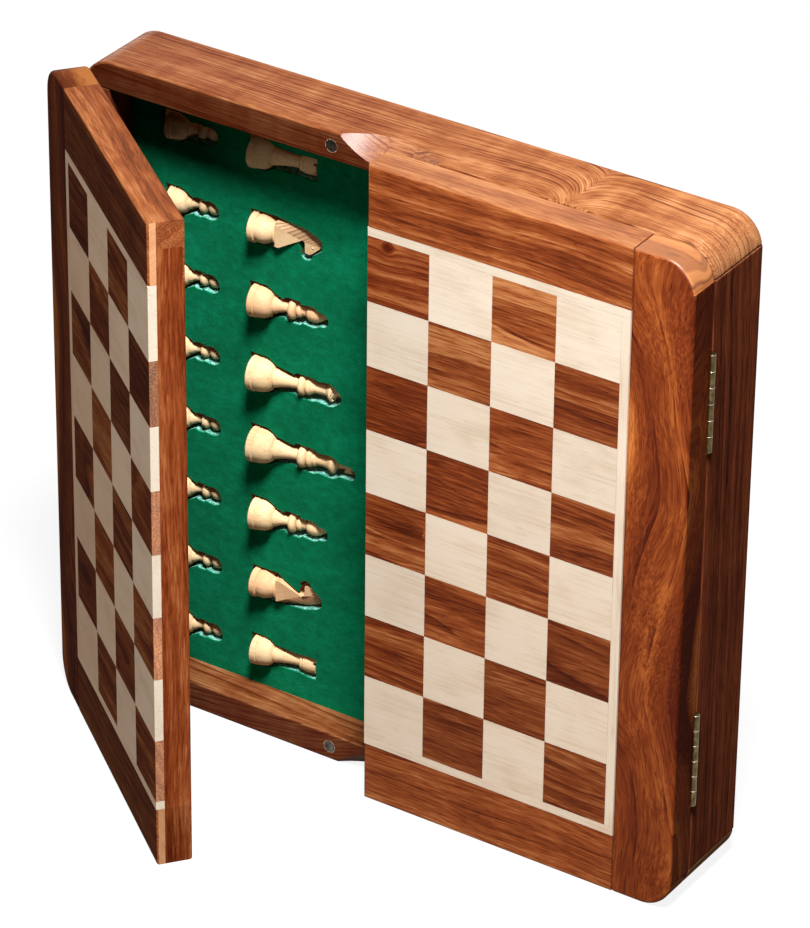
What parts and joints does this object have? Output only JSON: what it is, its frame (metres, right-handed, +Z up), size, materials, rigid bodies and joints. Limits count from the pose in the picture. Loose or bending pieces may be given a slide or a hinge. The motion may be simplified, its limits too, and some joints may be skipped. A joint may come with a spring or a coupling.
{
  "type": "chess set with board",
  "caption": "Folding wooden chess set: two hinged doors carry the inlaid board and close over a felt tray that holds the turned pieces in cut pockets.",
  "frame": {"origin": "middle of the flat bottom edge of the case, on which the set stands", "axes": "+X to the right as seen from the doors, +Y from the doors to the back panel, +Z up along the hinge pins"},
  "size_m": [0.2635, 0.1194, 0.253],
  "materials": {
    "sheesham": "satin lacquer over straight to wavy brown grain",
    "dark_square_wood": "satin lacquer, darker striped grain running across the board",
    "maple": "satin lacquer, very fine pale grain",
    "tray_wood": "plain sanded softwood",
    "felt": "short green nap, cut and slightly frayed at the pockets",
    "magnet": "dull nickel discs",
    "hinge_brass": "dull, lightly tarnished",
    "boxwood": "smooth waxed turned boxwood",
    "dark_wood": "smooth waxed turned rosewood"
  },
  "bodies": {
    "case": {"case_left_side": "sheesham", "case_right_side": "sheesham", "case_top_rail": "sheesham", "case_bottom_rail": "sheesham", "back_panel": "sheesham", "tray_board": "tray_wood", "felt_sheet": "felt", "case_magnets": "magnet", "case_hinge_leaves": "hinge_brass", "hinge_pins": "hinge_brass", "case_hinge_screws": "hinge_brass"},
    "left_door": {"left_outer_stile": "sheesham", "left_rails": "sheesham", "left_meeting_stile": "sheesham", "left_backing_board": "tray_wood", "left_dark_squares": "dark_square_wood", "left_light_inlay": "maple", "left_door_magnets": "magnet", "left_door_hinge_leaves": "hinge_brass"},
    "right_door": {"right_outer_stile": "sheesham", "right_rails": "sheesham", "right_meeting_stile": "sheesham", "right_backing_board": "tray_wood", "right_dark_squares": "dark_square_wood", "right_light_inlay": "maple", "right_door_magnets": "magnet", "right_door_hinge_leaves": "hinge_brass"},
    "light_pawn_1": {"light_pawn_1": "boxwood"},
    "light_rook_1": {"light_rook_1": "boxwood"},
    "light_pawn_2": {"light_pawn_2": "boxwood"},
    "light_knight_1": {"light_knight_1": "boxwood"},
    "light_pawn_3": {"light_pawn_3": "boxwood"},
    "light_bishop_1": {"light_bishop_1": "boxwood"},
    "light_pawn_4": {"light_pawn_4": "boxwood"},
    "light_queen": {"light_queen": "boxwood"},
    "light_pawn_5": {"light_pawn_5": "boxwood"},
    "light_king": {"light_king": "boxwood"},
    "light_pawn_6": {"light_pawn_6": "boxwood"},
    "light_bishop_2": {"light_bishop_2": "boxwood"},
    "light_pawn_7": {"light_pawn_7": "boxwood"},
    "light_knight_2": {"light_knight_2": "boxwood"},
    "light_pawn_8": {"light_pawn_8": "boxwood"},
    "light_rook_2": {"light_rook_2": "boxwood"},
    "dark_pawn_1": {"dark_pawn_1": "dark_wood"},
    "dark_rook_1": {"dark_rook_1": "dark_wood"},
    "dark_pawn_2": {"dark_pawn_2": "dark_wood"},
    "dark_knight_1": {"dark_knight_1": "dark_wood"},
    "dark_pawn_3": {"dark_pawn_3": "dark_wood"},
    "dark_bishop_1": {"dark_bishop_1": "dark_wood"},
    "dark_pawn_4": {"dark_pawn_4": "dark_wood"},
    "dark_queen": {"dark_queen": "dark_wood"},
    "dark_pawn_5": {"dark_pawn_5": "dark_wood"},
    "dark_king": {"dark_king": "dark_wood"},
    "dark_pawn_6": {"dark_pawn_6": "dark_wood"},
    "dark_bishop_2": {"dark_bishop_2": "dark_wood"},
    "dark_pawn_7": {"dark_pawn_7": "dark_wood"},
    "dark_knight_2": {"dark_knight_2": "dark_wood"},
    "dark_pawn_8": {"dark_pawn_8": "dark_wood"},
    "dark_rook_2": {"dark_rook_2": "dark_wood"}
  },
  "joints": [
    {"name": "left_door_hinge", "type": "hinge", "parent": "case", "child": "left_door", "pos_m": [-0.127, -0.0153, 0.1265], "axis": [0, 0, -1], "range_deg": [-38.3, 136.7]},
    {"name": "right_door_hinge", "type": "hinge", "parent": "case", "child": "right_door", "pos_m": [0.127, -0.0153, 0.1265], "axis": [0, 0, 1], "range_deg": [0, 175]},
    {"name": "light_pawn_1_lift", "type": "slide", "parent": "case", "child": "light_pawn_1", "axis": [0, -1, 0], "range_m": [0, 0.021]},
    {"name": "light_rook_1_lift", "type": "slide", "parent": "case", "child": "light_rook_1", "axis": [0, -1, 0], "range_m": [0, 0.024]},
    {"name": "light_pawn_2_lift", "type": "slide", "parent": "case", "child": "light_pawn_2", "axis": [0, -1, 0], "range_m": [0, 0.021]},
    {"name": "light_knight_1_lift", "type": "slide", "parent": "case", "child": "light_knight_1", "axis": [0, -1, 0], "range_m": [0, 0.024]},
    {"name": "light_pawn_3_lift", "type": "slide", "parent": "case", "child": "light_pawn_3", "axis": [0, -1, 0], "range_m": [0, 0.021]},
    {"name": "light_bishop_1_lift", "type": "slide", "parent": "case", "child": "light_bishop_1", "axis": [0, -1, 0], "range_m": [0, 0.024]},
    {"name": "light_pawn_4_lift", "type": "slide", "parent": "case", "child": "light_pawn_4", "axis": [0, -1, 0], "range_m": [0, 0.021]},
    {"name": "light_queen_lift", "type": "slide", "parent": "case", "child": "light_queen", "axis": [0, -1, 0], "range_m": [0, 0.024]},
    {"name": "light_pawn_5_lift", "type": "slide", "parent": "case", "child": "light_pawn_5", "axis": [0, -1, 0], "range_m": [0, 0.021]},
    {"name": "light_king_lift", "type": "slide", "parent": "case", "child": "light_king", "axis": [0, -1, 0], "range_m": [0, 0.024]},
    {"name": "light_pawn_6_lift", "type": "slide", "parent": "case", "child": "light_pawn_6", "axis": [0, -1, 0], "range_m": [0, 0.021]},
    {"name": "light_bishop_2_lift", "type": "slide", "parent": "case", "child": "light_bishop_2", "axis": [0, -1, 0], "range_m": [0, 0.024]},
    {"name": "light_pawn_7_lift", "type": "slide", "parent": "case", "child": "light_pawn_7", "axis": [0, -1, 0], "range_m": [0, 0.021]},
    {"name": "light_knight_2_lift", "type": "slide", "parent": "case", "child": "light_knight_2", "axis": [0, -1, 0], "range_m": [0, 0.024]},
    {"name": "light_pawn_8_lift", "type": "slide", "parent": "case", "child": "light_pawn_8", "axis": [0, -1, 0], "range_m": [0, 0.021]},
    {"name": "light_rook_2_lift", "type": "slide", "parent": "case", "child": "light_rook_2", "axis": [0, -1, 0], "range_m": [0, 0.024]},
    {"name": "dark_pawn_1_lift", "type": "slide", "parent": "case", "child": "dark_pawn_1", "axis": [0, -1, 0], "range_m": [0, 0.005]},
    {"name": "dark_rook_1_lift", "type": "slide", "parent": "case", "child": "dark_rook_1", "axis": [0, -1, 0], "range_m": [0, 0.005]},
    {"name": "dark_pawn_2_lift", "type": "slide", "parent": "case", "child": "dark_pawn_2", "axis": [0, -1, 0], "range_m": [0, 0.005]},
    {"name": "dark_knight_1_lift", "type": "slide", "parent": "case", "child": "dark_knight_1", "axis": [0, -1, 0], "range_m": [0, 0.005]},
    {"name": "dark_pawn_3_lift", "type": "slide", "parent": "case", "child": "dark_pawn_3", "axis": [0, -1, 0], "range_m": [0, 0.005]},
    {"name": "dark_bishop_1_lift", "type": "slide", "parent": "case", "child": "dark_bishop_1", "axis": [0, -1, 0], "range_m": [0, 0.005]},
    {"name": "dark_pawn_4_lift", "type": "slide", "parent": "case", "child": "dark_pawn_4", "axis": [0, -1, 0], "range_m": [0, 0.005]},
    {"name": "dark_queen_lift", "type": "slide", "parent": "case", "child": "dark_queen", "axis": [0, -1, 0], "range_m": [0, 0.005]},
    {"name": "dark_pawn_5_lift", "type": "slide", "parent": "case", "child": "dark_pawn_5", "axis": [0, -1, 0], "range_m": [0, 0.005]},
    {"name": "dark_king_lift", "type": "slide", "parent": "case", "child": "dark_king", "axis": [0, -1, 0], "range_m": [0, 0.005]},
    {"name": "dark_pawn_6_lift", "type": "slide", "parent": "case", "child": "dark_pawn_6", "axis": [0, -1, 0], "range_m": [0, 0.005]},
    {"name": "dark_bishop_2_lift", "type": "slide", "parent": "case", "child": "dark_bishop_2", "axis": [0, -1, 0], "range_m": [0, 0.005]},
    {"name": "dark_pawn_7_lift", "type": "slide", "parent": "case", "child": "dark_pawn_7", "axis": [0, -1, 0], "range_m": [0, 0.005]},
    {"name": "dark_knight_2_lift", "type": "slide", "parent": "case", "child": "dark_knight_2", "axis": [0, -1, 0], "range_m": [0, 0.005]},
    {"name": "dark_pawn_8_lift", "type": "slide", "parent": "case", "child": "dark_pawn_8", "axis": [0, -1, 0], "range_m": [0, 0.005]},
    {"name": "dark_rook_2_lift", "type": "slide", "parent": "case", "child": "dark_rook_2", "axis": [0, -1, 0], "range_m": [0, 0.005]}
  ]
}
